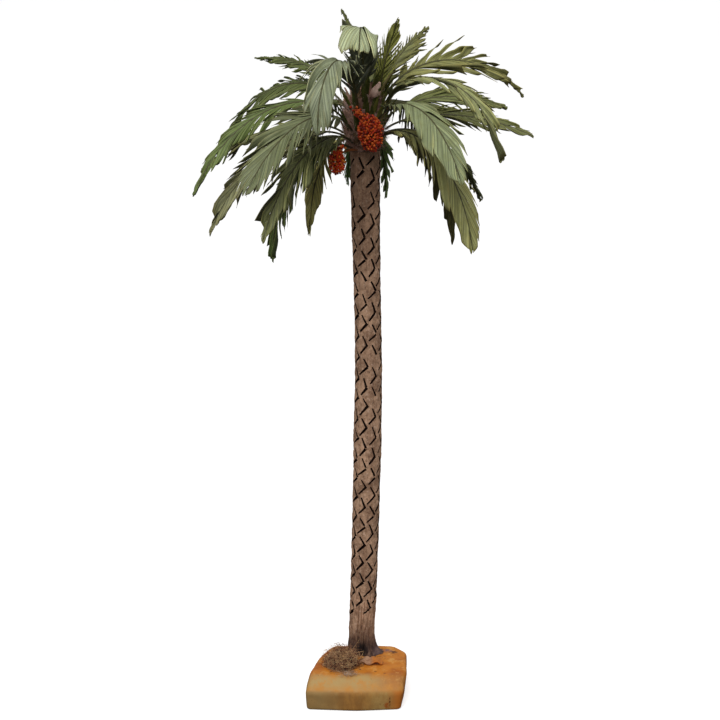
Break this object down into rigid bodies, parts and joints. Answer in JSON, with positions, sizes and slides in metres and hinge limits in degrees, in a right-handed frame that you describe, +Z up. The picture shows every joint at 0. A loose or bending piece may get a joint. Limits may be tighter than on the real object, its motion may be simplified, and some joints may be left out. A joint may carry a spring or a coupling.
{
  "type": "model palm tree",
  "caption": "Model palm tree with an incised, leaning trunk, arching feather fronds and hanging date bunches, standing on a small painted block.",
  "frame": {"origin": "middle of the flat underside of the painted block, at the level of the table that it stands on", "axes": "+Z up along the trunk, -Y towards the front that the picture shows, +X to its right"},
  "size_m": [0.2804, 0.2944, 0.597],
  "materials": {
    "painted_block": "satin ochre paint with streaks",
    "bark": "rough brown paint with incised dashes",
    "leaf_bases": "rough fibrous brown pink",
    "dates": "small glossy orange red beads",
    "dry_fibre": "tangled dry brown fibre",
    "pale_chip": "bare pale wood",
    "sage_fronds": "matt grey green leaf",
    "olive_fronds": "matt dark olive leaf"
  },
  "bodies": {
    "root": {"base_block": "painted_block", "crown_heart": "leaf_bases", "date_bunch_front": "dates", "date_bunch_left": "dates", "fibre_tuft": "dry_fibre", "foot_chip": "pale_chip", "frond_back_high_inner": "olive_fronds", "frond_back_high_outer": "olive_fronds", "frond_back_left": "olive_fronds", "frond_back_low_inner": "olive_fronds", "frond_back_low_outer": "olive_fronds", "frond_back_mid_left_inner": "olive_fronds", "frond_back_mid_left_outer": "olive_fronds", "frond_back_mid_right_inner": "olive_fronds", "frond_back_mid_right_outer": "olive_fronds", "frond_back_right": "olive_fronds", "frond_front_left_inner": "sage_fronds", "frond_front_left_outer": "sage_fronds", "frond_front_top_inner": "sage_fronds", "frond_front_top_outer": "sage_fronds", "frond_hang_left_inner": "olive_fronds", "frond_hang_left_outer": "olive_fronds", "frond_hang_right_inner": "olive_fronds", "frond_hang_right_outer": "olive_fronds", "frond_left_back_inner": "olive_fronds", "frond_left_back_outer": "olive_fronds", "frond_left_droop_inner": "olive_fronds", "frond_left_droop_outer": "olive_fronds", "frond_left_fan_inner": "sage_fronds", "frond_left_fan_outer": "sage_fronds", "frond_left_far_inner": "olive_fronds", "frond_left_far_outer": "olive_fronds", "frond_left_hang_inner": "olive_fronds", "frond_left_hang_outer": "olive_fronds", "frond_left_high_inner": "olive_fronds", "frond_left_high_outer": "olive_fronds", "frond_left_low_inner": "olive_fronds", "frond_left_low_outer": "olive_fronds", "frond_left_under_inner": "olive_fronds", "frond_left_under_outer": "olive_fronds", "frond_right_behind_inner": "olive_fronds", "frond_right_behind_outer": "olive_fronds", "frond_right_high_inner": "olive_fronds", "frond_right_high_outer": "olive_fronds", "frond_right_light_inner": "sage_fronds", "frond_right_light_outer": "sage_fronds", "frond_right_long_inner": "sage_fronds", "frond_right_long_outer": "sage_fronds", "frond_right_mid": "olive_fronds", "frond_right_olive_inner": "sage_fronds", "frond_right_olive_outer": "sage_fronds", "frond_right_short": "olive_fronds", "frond_right_under_inner": "olive_fronds", "frond_right_under_outer": "olive_fronds", "frond_spike_left": "olive_fronds", "frond_up_right": "olive_fronds", "spathe_stub": "leaf_bases", "trunk": "bark"}
  },
  "joints": []
}
